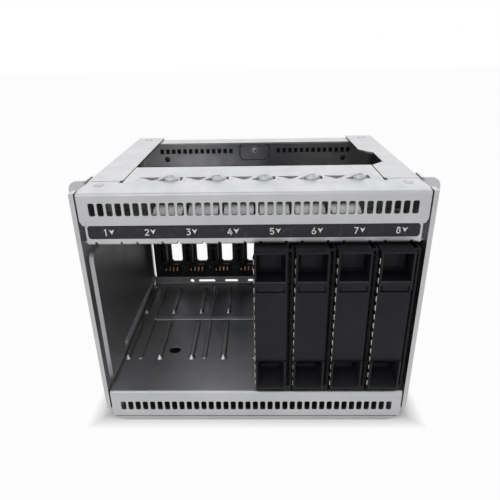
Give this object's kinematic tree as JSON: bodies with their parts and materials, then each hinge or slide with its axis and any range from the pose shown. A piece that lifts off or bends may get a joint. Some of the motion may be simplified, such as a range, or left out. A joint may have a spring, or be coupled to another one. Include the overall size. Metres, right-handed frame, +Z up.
{
  "type": "hot swap drive cage",
  "caption": "Folded sheet-steel cage for 2.5 inch hot swap drives, with vented bands, a numbered rail, a backplane at the rear and latched bay blanks that slide out",
  "frame": {"origin": "centre of the bounding box at its lowest face, under the middle of the cage", "axes": "+X to the right across the bays, +Y from the front into the cage, +Z up"},
  "size_m": [0.1646, 0.1286, 0.122],
  "materials": {
    "zinc_steel": "zinc plated sheet steel with a fine satin grain",
    "label_film": "printed film label, near black",
    "screen_film": "thin dark screen film",
    "board_black": "black solder mask over glass laminate",
    "connector_plastic": "moulded black connector plastic",
    "contact_copper": "sprung copper alloy contacts",
    "port_shell": "nickel plated port shells",
    "standoff_brass": "turned brass hexagon standoffs",
    "blank_plastic": "dark charcoal moulded plastic with a fine grain",
    "spring_steel": "bright stainless spring strip"
  },
  "bodies": {
    "cage": {"upper_front_panel": "zinc_steel", "upper_guide": "zinc_steel", "number_label": "label_film", "left_side_wall": "zinc_steel", "right_side_wall": "zinc_steel", "left_ear": "zinc_steel", "right_ear": "zinc_steel", "floor_plate": "zinc_steel", "rear_crossmember": "zinc_steel", "vent_screen": "screen_film", "backplane_board": "board_black", "drive_sockets": "connector_plastic", "contact_housings": "connector_plastic", "contact_pins": "contact_copper", "data_ports": "port_shell", "power_header": "connector_plastic", "board_standoffs": "standoff_brass"},
    "blank_5": {"blank_5_body": "blank_plastic", "blank_5_ground_spring": "spring_steel"},
    "latch_5": {"blank_5_latch": "blank_plastic"},
    "blank_6": {"blank_6_body": "blank_plastic", "blank_6_ground_spring": "spring_steel"},
    "latch_6": {"blank_6_latch": "blank_plastic"},
    "blank_7": {"blank_7_body": "blank_plastic", "blank_7_ground_spring": "spring_steel"},
    "latch_7": {"blank_7_latch": "blank_plastic"},
    "blank_8": {"blank_8_body": "blank_plastic", "blank_8_ground_spring": "spring_steel"},
    "latch_8": {"blank_8_latch": "blank_plastic"}
  },
  "joints": [
    {"name": "blank_5_slide", "type": "slide", "parent": "cage", "child": "blank_5", "axis": [0, -1, 0], "range_m": [0, 0.104]},
    {"name": "blank_5_latch_hinge", "type": "hinge", "parent": "blank_5", "child": "latch_5", "pos_m": [0.00743, -0.0338, 0.0918], "axis": [1, 0, 0], "range_deg": [0, 6], "stiffness_Nm_per_rad": 0.05},
    {"name": "blank_6_slide", "type": "slide", "parent": "cage", "child": "blank_6", "axis": [0, -1, 0], "range_m": [0, 0.104]},
    {"name": "blank_6_latch_hinge", "type": "hinge", "parent": "blank_6", "child": "latch_6", "pos_m": [0.02492, -0.0338, 0.0918], "axis": [1, 0, 0], "range_deg": [0, 6], "stiffness_Nm_per_rad": 0.05},
    {"name": "blank_7_slide", "type": "slide", "parent": "cage", "child": "blank_7", "axis": [0, -1, 0], "range_m": [0, 0.104]},
    {"name": "blank_7_latch_hinge", "type": "hinge", "parent": "blank_7", "child": "latch_7", "pos_m": [0.04242, -0.0338, 0.0918], "axis": [1, 0, 0], "range_deg": [0, 6], "stiffness_Nm_per_rad": 0.05},
    {"name": "blank_8_slide", "type": "slide", "parent": "cage", "child": "blank_8", "axis": [0, -1, 0], "range_m": [0, 0.104]},
    {"name": "blank_8_latch_hinge", "type": "hinge", "parent": "blank_8", "child": "latch_8", "pos_m": [0.05992, -0.0338, 0.0918], "axis": [1, 0, 0], "range_deg": [0, 6], "stiffness_Nm_per_rad": 0.05}
  ]
}
